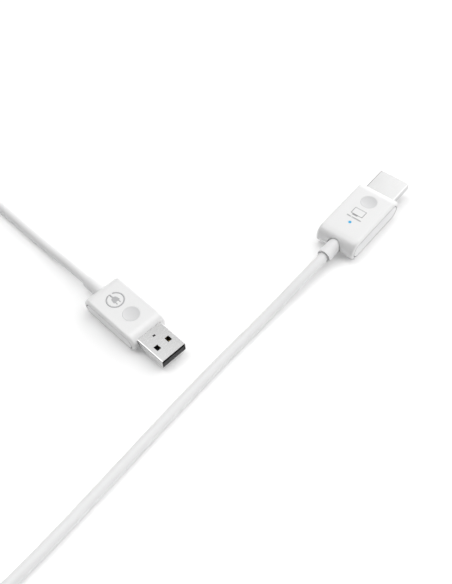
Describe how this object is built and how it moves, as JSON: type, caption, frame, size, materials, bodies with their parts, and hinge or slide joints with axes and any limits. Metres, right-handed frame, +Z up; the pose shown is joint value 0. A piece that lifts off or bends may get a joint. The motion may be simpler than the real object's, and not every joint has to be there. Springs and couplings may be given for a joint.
{
  "type": "wireless receiver with plug and power lead",
  "caption": "Small white wireless receiver head with a flat video plug, joined by a long round cord to a matching supply head with a flat power plug.",
  "frame": {"origin": "on the resting surface, under the middle of the receiver head, measured from the tip of its plug to the end of its collar", "axes": "+Y points out of the video plug, +Z up out of the face with the finger dimple and the status light, +X to the right"},
  "size_m": [0.1868, 0.2653, 0.0099],
  "materials": {
    "white_shell": "satin gloss moulded white ABS",
    "white_plate": "satin white plate",
    "white_jacket": "soft satin white TPE cord jacket",
    "white_collar": "soft satin white TPE strain relief",
    "plug_steel": "satin nickel-plated steel",
    "black_insulator": "matt black LCP",
    "contact_gold": "gold flash on copper alloy",
    "board_green": "solder mask on glass laminate",
    "chip_black": "black moulding compound",
    "shield_tin": "tinned steel can",
    "ceramic": "fired ceramic",
    "spreader_aluminium": "plain aluminium",
    "pad_grey": "soft grey silicone",
    "light_blue": "blue status light",
    "pipe_clear": "clear light pipe",
    "crimp_metal": "crimped aluminium",
    "core_white": "cord filler",
    "wire_red": "red PVC insulation",
    "wire_black": "black PVC insulation",
    "tie_fabric": "white hook-and-loop strap"
  },
  "bodies": {
    "root": {"board_capacitors": "ceramic", "clock_crystal": "shield_tin", "cord_coil": "white_jacket", "cord_receiver_run": "white_jacket", "cord_supply_run": "white_jacket", "cord_tie": "tie_fabric", "flash_chip": "chip_black", "heat_spreader": "spreader_aluminium", "light_pipe": "pipe_clear", "memory_chip": "chip_black", "power_inductor": "chip_black", "radio_antenna": "ceramic", "radio_module": "shield_tin", "receiver_bottom_shell": "white_shell", "receiver_circuit_board": "board_green", "receiver_cord_core": "core_white", "receiver_cord_crimp": "crimp_metal", "receiver_ground_wire": "wire_black", "receiver_left_side_plate": "white_plate", "receiver_power_wire": "wire_red", "receiver_right_side_plate": "white_plate", "receiver_strain_relief": "white_collar", "receiver_top_shell": "white_shell", "status_light": "light_blue", "supply_bottom_shell": "white_shell", "supply_circuit_board": "board_green", "supply_contacts": "contact_gold", "supply_cord_core": "core_white", "supply_cord_crimp": "crimp_metal", "supply_fuse": "chip_black", "supply_ground_wire": "wire_black", "supply_insulator": "black_insulator", "supply_left_side_plate": "white_plate", "supply_plug_shell": "plug_steel", "supply_power_wire": "wire_red", "supply_right_side_plate": "white_plate", "supply_strain_relief": "white_collar", "supply_surge_filter": "ceramic", "supply_top_shell": "white_shell", "thermal_pad": "pad_grey", "video_insulator": "black_insulator", "video_lower_contacts": "contact_gold", "video_plug_shell": "plug_steel", "video_processor_chip": "chip_black", "video_upper_contacts": "contact_gold", "voltage_regulator": "chip_black"}
  },
  "joints": []
}
